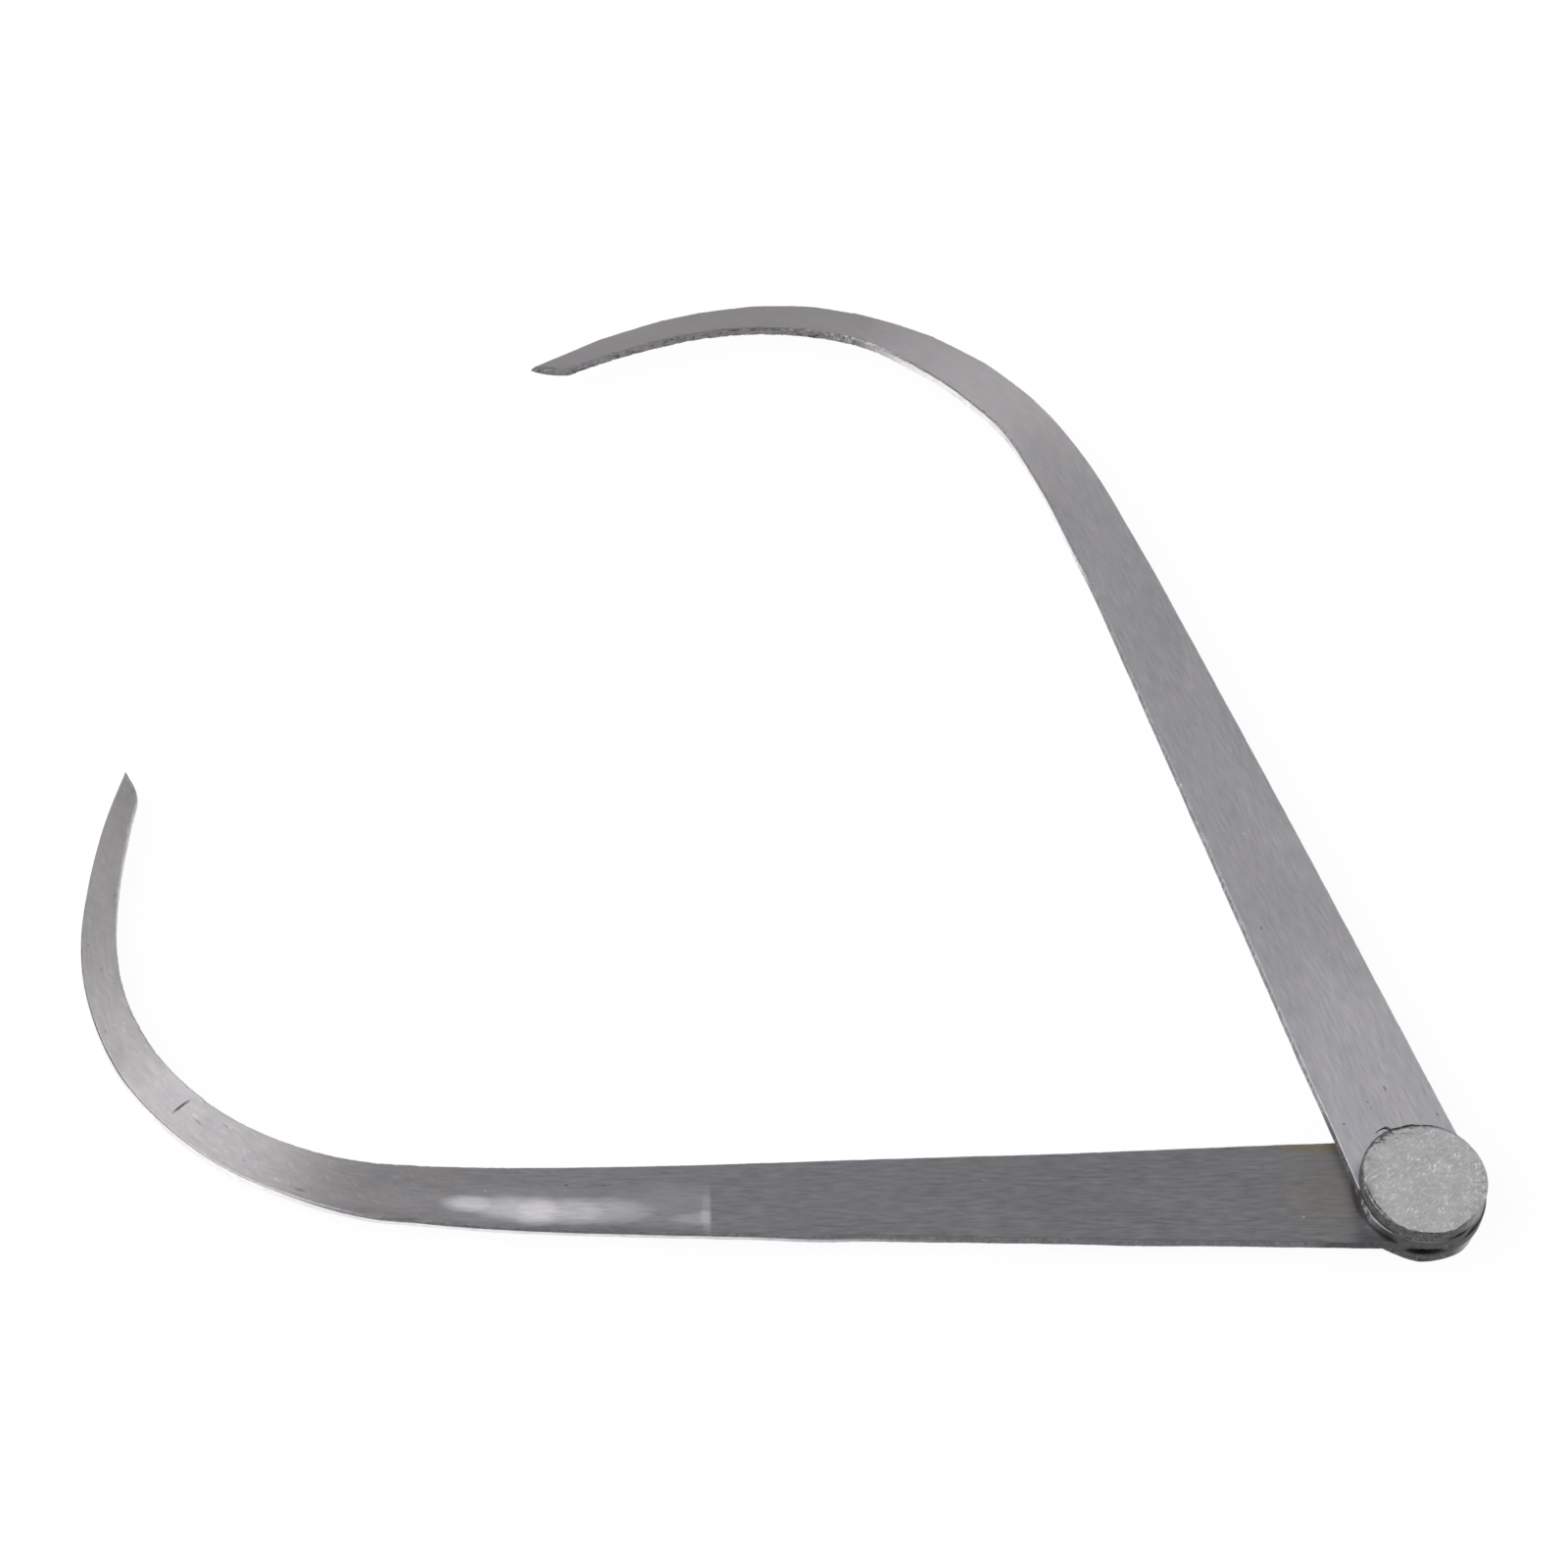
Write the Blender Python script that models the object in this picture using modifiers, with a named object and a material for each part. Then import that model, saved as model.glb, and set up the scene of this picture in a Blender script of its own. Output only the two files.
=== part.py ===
"""A firm-joint outside caliper: two flat, bowed steel legs on one broad rivet.

The origin is on the rivet's axis, at the underside of the base washer. +Z runs up the rivet,
the lower leg's straight run points along -X, and the upper leg opens away from it towards +Y.
Both legs are the same plate: the lower one is turned over, so that the two bows face each other.
"""

from math import acos, atan2, ceil, cos, pi, radians, sin, tan

import bmesh
import bpy
from mathutils import Matrix, Vector

MM = 0.001

# How far the legs stand open, between their straight runs
OPENING = radians(73.8)

# Leg plate, along its middle line from the pivot: a straight run, then three arcs of one bow
LEG_THICKNESS = 2.4 * MM
ROOT_WIDTH = 25.7 * MM
TOE_WIDTH = 4.5 * MM
STRAIGHT_RUN = 167.8 * MM
SHOULDER_RADIUS = 393.6 * MM
SHOULDER_TURN = radians(7.6)
BOW_RADIUS = 70.7 * MM
BOW_TURN = radians(84.9)
TOE_RADIUS = 165.3 * MM
TOE_TURN = radians(12.9)
MIDDLE_OFFSET = 0.3 * MM
ROUND_END_RADIUS = 13.9 * MM
EDGE_BREAK = 0.25 * MM

# Tip: cut back on its inner side to a point, and ground thinner from both faces towards it
TIP_CUT = 7.3 * MM
TIP_CORNER_RADIUS = 3.5 * MM
GRIND_AT_CORNER = 0.3 * MM
GRIND_AT_POINT = 0.85 * MM
GRIND_SLOPE = radians(24)

# Joint: a rivet whose broad head covers the upper leg, and a washer that its tail is spread into
JOINT_RADIUS = 13.4 * MM
HEAD_THICKNESS = 3.4 * MM
WASHER_THICKNESS = 3.4 * MM
RIM_CHAMFER = 0.55 * MM
RIM_BREAK = 0.2 * MM
SHANK_RADIUS = 4.5 * MM
TAIL_RADIUS = 6.6 * MM
TAIL_DEPTH = 2.0 * MM
CLEARANCE = 0.3 * MM

# Facets
ARC_STEP = 3.0 * MM
END_STEPS = 24
CORNER_STEPS = 4
ROUND_STEPS = 72
MERGE = 0.001 * MM
FLAT_ANGLE = radians(0.1)
SMOOTH_ANGLE = radians(25)

ARCS = (
    (SHOULDER_RADIUS, SHOULDER_TURN),
    (BOW_RADIUS, BOW_TURN),
    (TOE_RADIUS, TOE_TURN),
)
LEG_LENGTH = STRAIGHT_RUN + sum(radius * turn for radius, turn in ARCS)
TAPER = atan2((ROOT_WIDTH - TOE_WIDTH) / 2, LEG_LENGTH)

LOWER_LEG_Z = WASHER_THICKNESS + CLEARANCE + LEG_THICKNESS / 2
UPPER_LEG_Z = LOWER_LEG_Z + LEG_THICKNESS + CLEARANCE
HEAD_Z = UPPER_LEG_Z + LEG_THICKNESS / 2 + CLEARANCE


def clear_scene():
    for thing in list(bpy.data.objects):
        bpy.data.objects.remove(thing)


def new_collection(name):
    made = bpy.data.collections.new(name)
    bpy.context.scene.collection.children.link(made)
    return made


def steel(name, grey, roughness):
    material = bpy.data.materials.new(name)
    material.use_nodes = True
    shader = material.node_tree.nodes["Principled BSDF"]
    shader.inputs["Base Color"].default_value = (grey, grey, grey, 1)
    shader.inputs["Metallic"].default_value = 1
    shader.inputs["Roughness"].default_value = roughness
    return material


def middle_line(travel):
    """The point and the heading at this distance along the leg's middle line, which bends to the left."""
    point = Vector((min(travel, STRAIGHT_RUN), MIDDLE_OFFSET))
    left = max(travel - STRAIGHT_RUN, 0)
    heading = 0
    for radius, turn in ARCS:
        swept = min(left / radius, turn)
        point.x += radius * (sin(heading + swept) - sin(heading))
        point.y += radius * (cos(heading) - cos(heading + swept))
        heading += swept
        left -= radius * swept
    return point, heading


def edge_point(travel, side):
    """A point on the inner (side 1) or the outer (side -1) edge: the width tapers evenly to the toe."""
    point, heading = middle_line(travel)
    half_width = ROOT_WIDTH / 2 + (TOE_WIDTH - ROOT_WIDTH) / 2 * travel / LEG_LENGTH
    return point + side * half_width * Vector((-sin(heading), cos(heading)))


def edge_travels(end):
    """Distances along a leg edge, from the bow's first point to the given end."""
    steps = ceil((end - STRAIGHT_RUN) / ARC_STEP)
    return [STRAIGHT_RUN + (end - STRAIGHT_RUN) * i / steps for i in range(steps + 1)]


def round_end():
    """The arc round the pivot, from where it meets the inner edge to where it meets the outer one."""
    ends = []
    for side in (1, -1):
        from_pivot = abs(edge_point(0, side).y) * cos(TAPER)
        ends.append(pi / 2 - TAPER + acos(from_pivot / ROUND_END_RADIUS))
    first, last = ends[0], 2 * pi - ends[1]
    angles = [first + (last - first) * i / END_STEPS for i in range(END_STEPS + 1)]
    return [ROUND_END_RADIUS * Vector((cos(angle), sin(angle))) for angle in angles]


def fillet(before, corner, after, radius):
    """Points on the arc that rounds a corner between two straight stretches."""
    back = (before - corner).normalized()
    ahead = (after - corner).normalized()
    half = back.angle(ahead) / 2
    centre = corner + (back + ahead).normalized() * radius / sin(half)
    start = corner + back * radius / tan(half) - centre
    swept = (pi - 2 * half) * (1 if start.cross(ahead) > 0 else -1)
    turns = [swept * i / CORNER_STEPS for i in range(CORNER_STEPS + 1)]
    return [centre + Matrix.Rotation(turn, 2) @ start for turn in turns]


def leg_outline():
    """The plate's outline, anticlockwise: round end, outer edge to the point, tip cut, inner edge."""
    outer = [edge_point(travel, -1) for travel in edge_travels(LEG_LENGTH)]
    inner = [edge_point(travel, 1) for travel in edge_travels(LEG_LENGTH - TIP_CUT)]
    corner = inner.pop()
    rounded = fillet(outer[-1], corner, inner[-1], TIP_CORNER_RADIUS)
    return round_end() + outer + rounded + inner[::-1]


def plate_mesh(name, points, thickness):
    """A flat outline as a closed mesh of this thickness, with its middle at z = 0."""
    curve = bpy.data.curves.new(name, "CURVE")
    curve.dimensions = "2D"
    curve.fill_mode = "BOTH"
    curve.extrude = thickness / 2
    spline = curve.splines.new("POLY")
    spline.points.add(len(points) - 1)
    for spot, point in zip(spline.points, points):
        spot.co = (point.x, point.y, 0, 1)
    spline.use_cyclic_u = True
    flat = bpy.data.objects.new(name, curve)
    bpy.context.scene.collection.objects.link(flat)
    graph = bpy.context.evaluated_depsgraph_get()
    mesh = bpy.data.meshes.new_from_object(flat.evaluated_get(graph))
    bpy.data.objects.remove(flat)
    shape = bmesh.new()
    shape.from_mesh(mesh)
    bmesh.ops.remove_doubles(shape, verts=shape.verts, dist=MERGE)
    bmesh.ops.dissolve_limit(shape, angle_limit=FLAT_ANGLE, verts=shape.verts, edges=shape.edges)
    bmesh.ops.recalc_face_normals(shape, faces=shape.faces)
    shape.to_mesh(mesh)
    shape.free()
    mesh.name = name
    return mesh


def final_mesh(piece):
    """The mesh that a piece's modifiers make, shaded smooth between its corners."""
    graph = bpy.context.evaluated_depsgraph_get()
    mesh = bpy.data.meshes.new_from_object(piece.evaluated_get(graph))
    mesh.shade_smooth()
    mesh.set_sharp_from_angle(angle=SMOOTH_ANGLE)
    return mesh


def hole_cutter(name, radius, length):
    shape = bmesh.new()
    bmesh.ops.create_cone(
        shape,
        cap_ends=True,
        segments=ROUND_STEPS,
        radius1=radius,
        radius2=radius,
        depth=length,
    )
    mesh = bpy.data.meshes.new(name)
    shape.to_mesh(mesh)
    shape.free()
    return bpy.data.objects.new(name, mesh)


def grinding_block(name, face):
    """A block over the tip, on the upper (face 1) or the lower (face -1) side of the leg.

    Its flat side cuts the leg's face along the tip cut: shallow at the inner corner and deeper at the point.
    """
    point = edge_point(LEG_LENGTH, -1).to_3d()
    corner = edge_point(LEG_LENGTH - TIP_CUT, 1).to_3d()
    along = point - corner
    length = along.length
    along.normalize()
    up = Vector((0, 0, face))
    outward = Vector((-along.y, along.x, 0))
    fall = (GRIND_AT_POINT - GRIND_AT_CORNER) / length
    normal = (up + along * fall + outward * tan(GRIND_SLOPE)).normalized()
    side = normal.cross(along).normalized()
    forward = side.cross(normal)
    size = 3 * length
    on_wall = corner + up * (LEG_THICKNESS / 2 - GRIND_AT_CORNER)
    middle = on_wall + along * length / 2 - up * fall * length / 2 + normal * size / 2
    shape = bmesh.new()
    bmesh.ops.create_cube(shape, size=size)
    mesh = bpy.data.meshes.new(name)
    shape.to_mesh(mesh)
    shape.free()
    block = bpy.data.objects.new(name, mesh)
    axes = Matrix((forward, side, normal)).transposed().to_4x4()
    block.matrix_local = Matrix.Translation(middle) @ axes
    return block


def leg_mesh(material):
    """The plate with its edges broken, its pivot hole and its ground tip, in its own frame."""
    cutters = new_collection("cutters")
    blank = bpy.data.objects.new("leg", plate_mesh("leg", leg_outline(), LEG_THICKNESS))
    blank.data.materials.append(material)
    cutters.objects.link(blank)
    edges = blank.modifiers.new("edge_break", "BEVEL")
    edges.width = EDGE_BREAK
    edges.segments = 2
    edges.limit_method = "ANGLE"
    tools = (
        hole_cutter("pivot_hole", SHANK_RADIUS + CLEARANCE, 4 * LEG_THICKNESS),
        grinding_block("grind_above", 1),
        grinding_block("grind_below", -1),
    )
    for tool in tools:
        cutters.objects.link(tool)
        tool.hide_render = True
        tool.display_type = "WIRE"
        boolean = blank.modifiers.new(tool.name, "BOOLEAN")
        boolean.operation = "DIFFERENCE"
        boolean.solver = "EXACT"
        boolean.object = tool
    mesh = final_mesh(blank)
    bpy.data.objects.remove(blank)
    return mesh


def make_leg(name, mesh, height, parts):
    """One leg. Its origin is on the joint's axis, in the middle of its thickness."""
    leg = bpy.data.objects.new(name, mesh)
    leg.location.z = height
    parts.objects.link(leg)
    return leg


def make_turned(name, profile, closed, material, parts):
    """A piece turned about Z from (radius, height) points, which run down its outer side."""
    count = len(profile)
    edges = [(i, (i + 1) % count) for i in range(count if closed else count - 1)]
    mesh = bpy.data.meshes.new(name)
    mesh.from_pydata([(radius, 0, height) for radius, height in profile], edges, [])
    mesh.materials.append(material)
    piece = bpy.data.objects.new(name, mesh)
    parts.objects.link(piece)
    turn = piece.modifiers.new("turn", "SCREW")
    turn.axis = "Z"
    turn.steps = ROUND_STEPS
    turn.render_steps = ROUND_STEPS
    turn.use_merge_vertices = True
    turn.merge_threshold = MERGE
    piece.data = final_mesh(piece)
    piece.modifiers.clear()
    return piece


def make_rivet(material, parts):
    """The broad head, the shank through both legs, and the tail spread to a cone in the washer."""
    profile = (
        (0, HEAD_THICKNESS),
        (JOINT_RADIUS - RIM_CHAMFER, HEAD_THICKNESS),
        (JOINT_RADIUS, HEAD_THICKNESS - RIM_CHAMFER),
        (JOINT_RADIUS, RIM_BREAK),
        (JOINT_RADIUS - RIM_BREAK, 0),
        (SHANK_RADIUS, 0),
        (SHANK_RADIUS, TAIL_DEPTH - HEAD_Z),
        (TAIL_RADIUS, -HEAD_Z),
        (0, -HEAD_Z),
    )
    rivet = make_turned("rivet", profile, False, material, parts)
    rivet.location.z = HEAD_Z
    return rivet


def make_base_washer(material, parts):
    """The disc under the legs, countersunk for the rivet's tail."""
    countersink = CLEARANCE * tan(pi / 4 + atan2(TAIL_RADIUS - SHANK_RADIUS, TAIL_DEPTH) / 2)
    bore = SHANK_RADIUS + CLEARANCE
    profile = (
        (bore, WASHER_THICKNESS),
        (JOINT_RADIUS - RIM_BREAK, WASHER_THICKNESS),
        (JOINT_RADIUS, WASHER_THICKNESS - RIM_BREAK),
        (JOINT_RADIUS, RIM_CHAMFER),
        (JOINT_RADIUS - RIM_CHAMFER, 0),
        (TAIL_RADIUS + countersink, 0),
        (bore, TAIL_DEPTH + CLEARANCE),
    )
    return make_turned("base_washer", profile, True, material, parts)


def main():
    clear_scene()
    parts = new_collection("outside_caliper")
    leg_steel = steel("brushed_leg_steel", 0.36, 0.34)
    joint_steel = steel("hammered_joint_steel", 0.4, 0.46)

    mesh = leg_mesh(leg_steel)
    upper = make_leg("upper_leg", mesh, UPPER_LEG_Z, parts)
    upper.rotation_euler.z = pi - OPENING
    lower = make_leg("lower_leg", mesh, LOWER_LEG_Z, parts)
    lower.rotation_euler.y = pi

    make_rivet(joint_steel, parts)
    make_base_washer(joint_steel, parts)


main()
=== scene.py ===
from math import atan2, cos, degrees, pi, radians, sin, sqrt, tan

import bmesh
import bpy
import numpy as np
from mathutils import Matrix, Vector, noise


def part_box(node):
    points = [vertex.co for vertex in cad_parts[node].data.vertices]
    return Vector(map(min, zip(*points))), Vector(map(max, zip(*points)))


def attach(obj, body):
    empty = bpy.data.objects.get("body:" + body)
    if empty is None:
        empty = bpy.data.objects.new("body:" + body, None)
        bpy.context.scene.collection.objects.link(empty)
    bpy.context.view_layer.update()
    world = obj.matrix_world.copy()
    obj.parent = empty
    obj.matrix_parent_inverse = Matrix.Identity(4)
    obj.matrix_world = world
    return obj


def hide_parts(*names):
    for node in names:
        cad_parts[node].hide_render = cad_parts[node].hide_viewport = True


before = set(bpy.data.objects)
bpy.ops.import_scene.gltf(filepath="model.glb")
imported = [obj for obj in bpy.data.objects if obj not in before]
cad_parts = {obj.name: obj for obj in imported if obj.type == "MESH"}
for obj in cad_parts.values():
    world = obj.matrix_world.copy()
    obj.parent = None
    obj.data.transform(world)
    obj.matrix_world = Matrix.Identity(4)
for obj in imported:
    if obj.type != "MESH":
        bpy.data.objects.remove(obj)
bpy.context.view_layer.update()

MM = 0.001

# The leg's plan, as the construction has it: its middle line from the pivot, and its width
OPENING = radians(73.8)
ROOT_WIDTH = 25.7 * MM
TOE_WIDTH = 4.5 * MM
STRAIGHT_RUN = 167.8 * MM
ARCS = (
    (393.6 * MM, radians(7.6)),
    (70.7 * MM, radians(84.9)),
    (165.3 * MM, radians(12.9)),
)
MIDDLE_OFFSET = 0.3 * MM
ROUND_END_RADIUS = 13.9 * MM
END_BLEND_START = 11.5 * MM
LEG_LENGTH = STRAIGHT_RUN + sum(radius * turn for radius, turn in ARCS)

# Grinding of the tips: at the corner of the cut, and its slope
GRIND_AT_CORNER = 0.3 * MM
GRIND_SLOPE = tan(radians(24))
GROUND_FULL = 0.08 * MM
LEAST_THICKNESS = 0.25 * MM

# The joint, as the construction has it
SHANK_RADIUS = 4.5 * MM
TAIL_RADIUS = 6.6 * MM
TAIL_DEPTH = 2.0 * MM
CLEARANCE = 0.3 * MM

# Heights and sizes that the frame gives
UPPER_LEG_LOW, UPPER_LEG_HIGH = (corner[2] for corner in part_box("upper_leg"))
LOWER_LEG_LOW, LOWER_LEG_HIGH = (corner[2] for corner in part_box("lower_leg"))
JOINT_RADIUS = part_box("base_washer")[1][0]
JOINT_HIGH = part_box("rivet")[1][2]

# The dressed pieces close most of the gap that the solids keep
GAP_LEFT = 0.04 * MM
LEG_GROWTH = (CLEARANCE - GAP_LEFT) / 2
HEAD_LOW = UPPER_LEG_HIGH + GAP_LEFT
WASHER_TOP = LOWER_LEG_LOW - GAP_LEFT

# Wear of the legs: edges, and the sheared walls, which are roughest inside the bow
EDGE_RADIUS = 0.3 * MM
EDGE_WEAR = 0.14 * MM
JOINT_EDGE_RADIUS = 0.05 * MM
EDGE_GUARD = 0.05 * MM
BOW_CHIPS = 1.1 * MM
WALL_STREAKS = 0.035 * MM
WALL_WAVES = 0.05 * MM
CALM_WALLS = (150 * MM, 180 * MM, 0.4)
ROUGH_WALLS = (245 * MM, 270 * MM, 2.0)

# Each leg's own cut, all in mm. The construction has both tips cut back by 7.3. Inner and outer are
# where the edges wander: travel, half length and amount. Kinks are where the outer edge changes
# direction. Ground is what is ground off the point from above and from below.
UPPER_PLAN = {
    "cut": 7.3,
    "rounding": 1.4,
    "ground": (0.35, 1.7),
    "outer_end": 13.45,
    "inner": (
        (188, 18, 0.35),
        (240, 16, 0.5),
        (255, 26, 0.9),
        (40, 25, 0.15),
        (278, 18, -0.45),
        (315, 30, 0.3),
    ),
    "outer": (
        (95, 110, 0.4),
        (208, 26, 0.7),
        (255, 22, -0.15),
        (280, 62, -0.6),
        (292, 12, 0.15),
        (315, 25, -0.45),
    ),
    "kinks": (232, 247.5, 261.5, 281.5, 290, 305, 318.5, 326.5, 343, 361),
}
LOWER_PLAN = {
    "cut": 5.2,
    "rounding": 2.2,
    "ground": (0.3, 1.4),
    "outer_end": 13.9,
    "inner": (
        (75, 50, -0.28),
        (180, 38, 0.42),
        (240, 22, 0.28),
        (285, 18, -0.2),
        (318, 20, 0.5),
        (338, 26, 0.5),
    ),
    "outer": (
        (60, 15, 0.22),
        (128, 14, 0.33),
        (175, 34, -0.3),
        (218, 9, 0.3),
        (237, 13, -0.4),
        (281, 18, 0.33),
        (325, 22, -0.28),
    ),
    "kinks": (),
}
STRAIGHTENED = 0.5 / (8 * 76)

# Facets
STATION_STEP = 0.45 * MM
TIP_STEP = 0.2 * MM
END_TURNS = 32
FACE_COLUMNS = 9
SIDE_ROWS = 6
ROUND_ROWS = 3
TURNED_STEPS = 400
TOP_RINGS = 64
RIM_ROWS = 11
WALL_ROWS = 8
HOLE_STEPS = 96
BURR_RINGS = 22
BURR_SIDES = 10
MERGE = 0.001 * MM


# Camera, lamp and floor

CAMERA_PLACE = (-0.177595, -0.472824, 0.761716)
CAMERA_TURN = (0.65747, -0.03563, -0.0350)
LENS = 97.6

# How bright the studio is overhead, to the sides, low behind and at one small window
OVERHEAD_LIGHT = 0.32
SIDE_LIGHT = 1.15
SIDE_START = 0.1
SIDE_FULL = 0.75
BACK_LIGHT = 1.1
BACK_START = 0.72
BACK_FULL = 0.4
BACK_SPREAD = 0.3
WINDOW_LIGHT = 0.9
WINDOW_DIRECTION = (-0.01, 0.53, 0.85)
WINDOW_EDGE = cos(radians(8))
WINDOW_CORE = cos(radians(3))

SOFTBOX_PLACE = (-1.2, -0.2, 0.9)
SOFTBOX_TARGET = (-0.12, 0.1, 0)
SOFTBOX_SIZE = 1.8
SOFTBOX_WATTS = 30

FLOOR_SIZE = 6
FLOOR_GREY = 0.8
FLOOR_WHITE_SHARE = 0.94


def make_camera():
    data = bpy.data.cameras.new("camera")
    data.sensor_width = 36
    data.lens = LENS
    data.clip_start = 0.01
    camera = bpy.data.objects.new("camera", data)
    camera.location = CAMERA_PLACE
    camera.rotation_euler = CAMERA_TURN
    bpy.context.scene.collection.objects.link(camera)
    bpy.context.scene.camera = camera


def make_softbox():
    data = bpy.data.lights.new("softbox", "AREA")
    data.size = SOFTBOX_SIZE
    data.energy = SOFTBOX_WATTS
    lamp = bpy.data.objects.new("softbox", data)
    lamp.location = SOFTBOX_PLACE
    aim = Vector(SOFTBOX_TARGET) - Vector(SOFTBOX_PLACE)
    lamp.rotation_euler = aim.to_track_quat("-Z", "Y").to_euler()
    bpy.context.scene.collection.objects.link(lamp)


class Nodes:
    """Short ways to add and join the nodes of one tree."""

    def __init__(self, tree):
        self.tree = tree
        self.tree.nodes.clear()

    def add(self, kind, **settings):
        node = self.tree.nodes.new(kind)
        for name, value in settings.items():
            setattr(node, name, value)
        return node

    def put(self, value, socket):
        if isinstance(value, bpy.types.NodeSocket):
            self.tree.links.new(value, socket)
        else:
            socket.default_value = value

    def math(self, operation, first, second=0.0):
        node = self.add("ShaderNodeMath", operation=operation)
        self.put(first, node.inputs[0])
        self.put(second, node.inputs[1])
        return node.outputs[0]

    def plus(self, *terms):
        total = terms[0]
        for term in terms[1:]:
            total = self.math("ADD", total, term)
        return total

    def times(self, first, second):
        return self.math("MULTIPLY", first, second)

    def step(self, value, low, high, low_value=0.0, high_value=1.0):
        """A smooth change from one value to another as the input goes from low to high."""
        node = self.add("ShaderNodeMapRange", interpolation_type="SMOOTHSTEP")
        for given, socket in zip((value, low, high, low_value, high_value), node.inputs):
            self.put(given, socket)
        return node.outputs[0]

    def mix(self, factor, first, second):
        """A mix of two colours."""
        node = self.add("ShaderNodeMix", data_type="RGBA")
        self.put(factor, node.inputs[0])
        self.put(first, node.inputs[6])
        self.put(second, node.inputs[7])
        return node.outputs[2]

    def between(self, factor, first, second):
        """A mix of two numbers."""
        node = self.add("ShaderNodeMix", data_type="FLOAT")
        self.put(factor, node.inputs[0])
        self.put(first, node.inputs[2])
        self.put(second, node.inputs[3])
        return node.outputs[0]

    def tinted(self, grey, tint):
        """A grey value as a colour with this tint."""
        node = self.add("ShaderNodeCombineColor")
        for share, socket in zip(tint, node.inputs):
            self.put(self.times(grey, share), socket)
        return node.outputs[0]

    def value(self, name):
        """A value that the mesh carries at its points."""
        return self.add("ShaderNodeAttribute", attribute_name=name).outputs["Fac"]

    def noise(self, place, scales, detail=2.0, roughness=0.55):
        """Noise at a place, with this many waves per metre in each direction. Its middle is 0."""
        scaled = self.add("ShaderNodeVectorMath", operation="MULTIPLY")
        self.put(place, scaled.inputs[0])
        scaled.inputs[1].default_value = scales
        node = self.add("ShaderNodeTexNoise")
        self.put(scaled.outputs[0], node.inputs["Vector"])
        node.inputs["Scale"].default_value = 1
        node.inputs["Detail"].default_value = detail
        node.inputs["Roughness"].default_value = roughness
        return self.math("SUBTRACT", node.outputs[0], 0.5)

    def turned(self, place, angle):
        """A place turned about Z."""
        node = self.add("ShaderNodeVectorRotate", rotation_type="Z_AXIS")
        self.put(place, node.inputs["Vector"])
        node.inputs["Angle"].default_value = angle
        return node.outputs[0]

    def bump(self, height, distance, strength):
        node = self.add("ShaderNodeBump")
        node.inputs["Strength"].default_value = strength
        node.inputs["Distance"].default_value = distance
        self.put(height, node.inputs["Height"])
        return node.outputs[0]


def make_world():
    """A studio round the object: dim overhead, brighter low behind it and bright to both sides."""
    world = bpy.data.worlds.new("studio")
    bpy.context.scene.world = world
    world.use_nodes = True
    n = Nodes(world.node_tree)
    direction = n.add("ShaderNodeTexCoord").outputs["Generated"]
    split = n.add("ShaderNodeSeparateXYZ")
    n.put(direction, split.inputs[0])
    x, y, z = split.outputs
    sides = n.step(n.math("ABSOLUTE", x), SIDE_START, SIDE_FULL, 0.0, SIDE_LIGHT)
    low = n.step(z, BACK_START, BACK_FULL, 0.0, BACK_LIGHT)
    behind = n.times(low, n.step(y, 0.0, BACK_SPREAD))
    towards_window = n.add("ShaderNodeVectorMath", operation="DOT_PRODUCT")
    n.put(direction, towards_window.inputs[0])
    towards_window.inputs[1].default_value = Vector(WINDOW_DIRECTION).normalized()
    window = n.step(towards_window.outputs["Value"], WINDOW_EDGE, WINDOW_CORE, 0.0, WINDOW_LIGHT)
    background = n.add("ShaderNodeBackground")
    n.put(n.plus(sides, behind, window, OVERHEAD_LIGHT), background.inputs["Strength"])
    output = n.add("ShaderNodeOutputWorld")
    n.put(background.outputs[0], output.inputs["Surface"])


def make_floor():
    """A white table. It is seen nearly white, also in reflections, and keeps the object's shadow."""
    bpy.ops.mesh.primitive_plane_add(size=FLOOR_SIZE)
    floor = bpy.context.object
    floor.name = "floor"
    material = bpy.data.materials.new("white_table")
    material.use_nodes = True
    n = Nodes(material.node_tree)
    path = n.add("ShaderNodeLightPath")
    seen = n.math("MAXIMUM", path.outputs["Is Camera Ray"], path.outputs["Is Glossy Ray"])
    seen = n.math("MAXIMUM", seen, path.outputs["Is Transmission Ray"])
    diffuse = n.add("ShaderNodeBsdfDiffuse")
    diffuse.inputs["Color"].default_value = (FLOOR_GREY, FLOOR_GREY, FLOOR_GREY, 1)
    white = n.add("ShaderNodeEmission")
    blend = n.add("ShaderNodeMixShader")
    n.put(n.times(seen, FLOOR_WHITE_SHARE), blend.inputs[0])
    n.put(diffuse.outputs[0], blend.inputs[1])
    n.put(white.outputs[0], blend.inputs[2])
    output = n.add("ShaderNodeOutputMaterial")
    n.put(blend.outputs[0], output.inputs["Surface"])
    floor.data.materials.append(material)


# Steel finishes
#
# A mark on a leg is an oval: its travel, its offset to the inner side, its half length, its half
# width and its lean, in mm, and then its strength

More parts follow.
